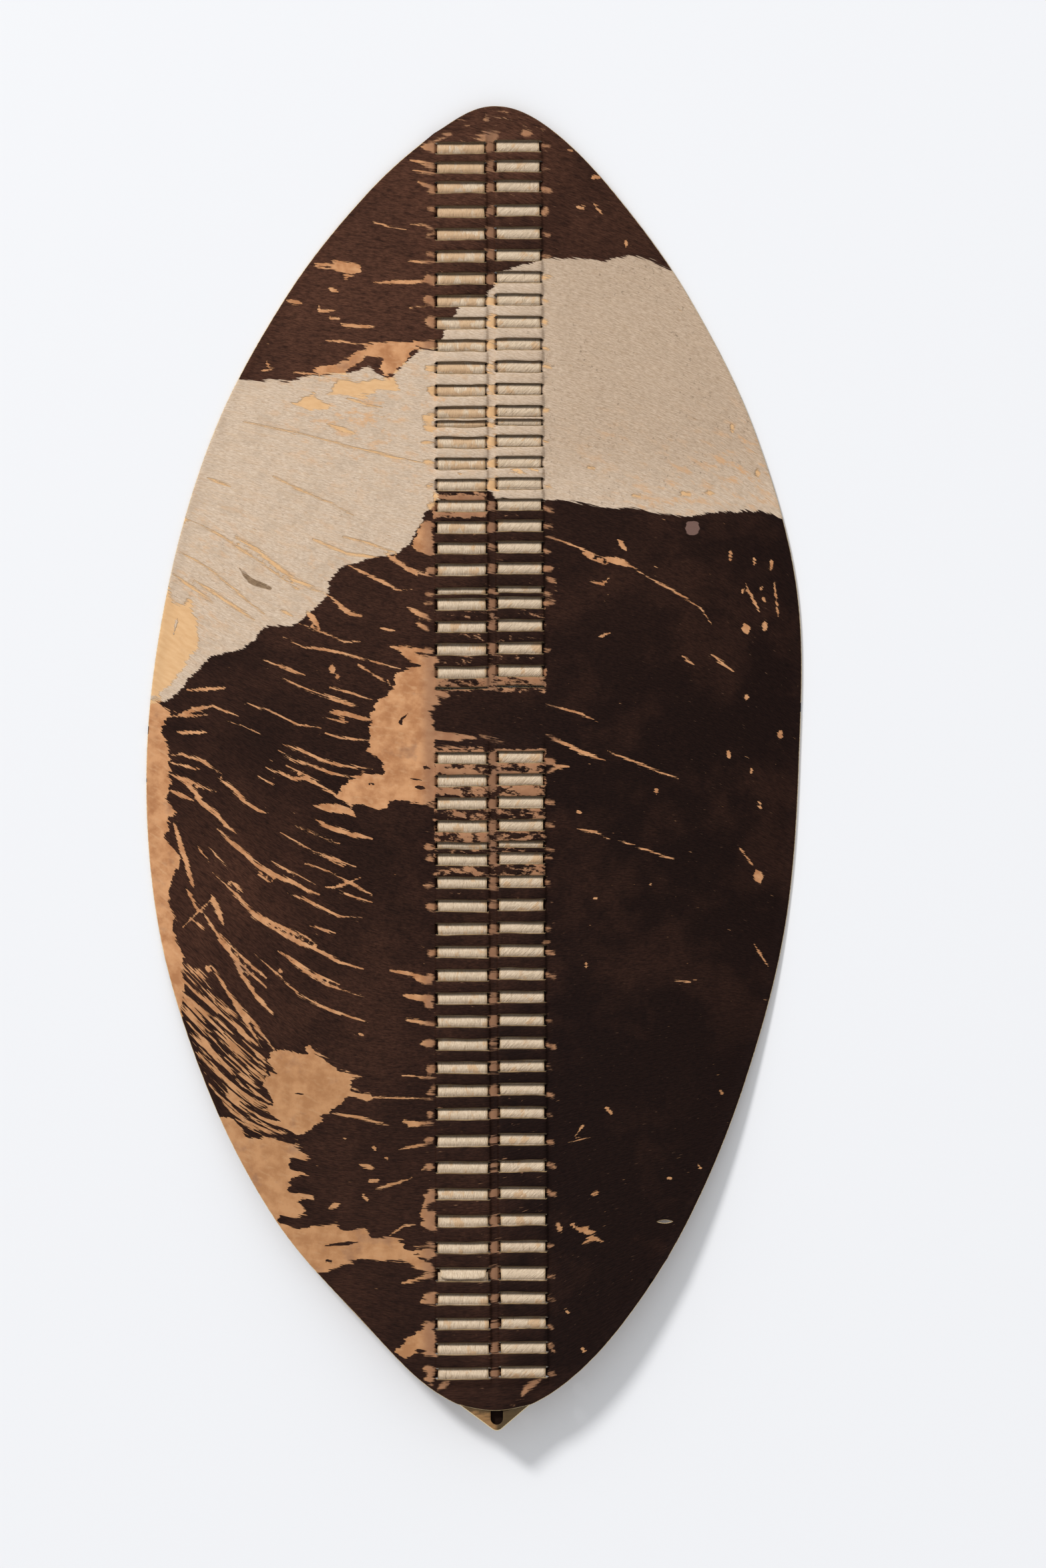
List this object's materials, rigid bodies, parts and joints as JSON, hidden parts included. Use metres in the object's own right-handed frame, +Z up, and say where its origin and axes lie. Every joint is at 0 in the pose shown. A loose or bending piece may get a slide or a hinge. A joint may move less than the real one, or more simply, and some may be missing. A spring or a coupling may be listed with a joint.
{
  "type": "hide shield",
  "caption": "Full-length almond-shaped cowhide shield, hair side out, with two columns of slits laced with pale strips of hide and a folded pocket at its bottom tip.",
  "frame": {"origin": "under the middle of the box, on the surface that the shield lies on", "axes": "+X to the shield's right as its hair side is seen, +Y to its top point, +Z up out of the hair side"},
  "size_m": [0.6548, 1.32, 0.0489],
  "materials": {
    "dark_hide": "short dark red-brown and black hair, with white patches and bare tan skin where it has worn away",
    "pale_lace": "short cream hair on cut strips, dry and matt"
  },
  "bodies": {
    "root": {"hide": "dark_hide", "lace_upper_left": "pale_lace", "lace_upper_right": "pale_lace", "lace_lower_left": "pale_lace", "lace_bottom_left": "pale_lace", "lace_lower_right": "pale_lace"}
  },
  "joints": []
}
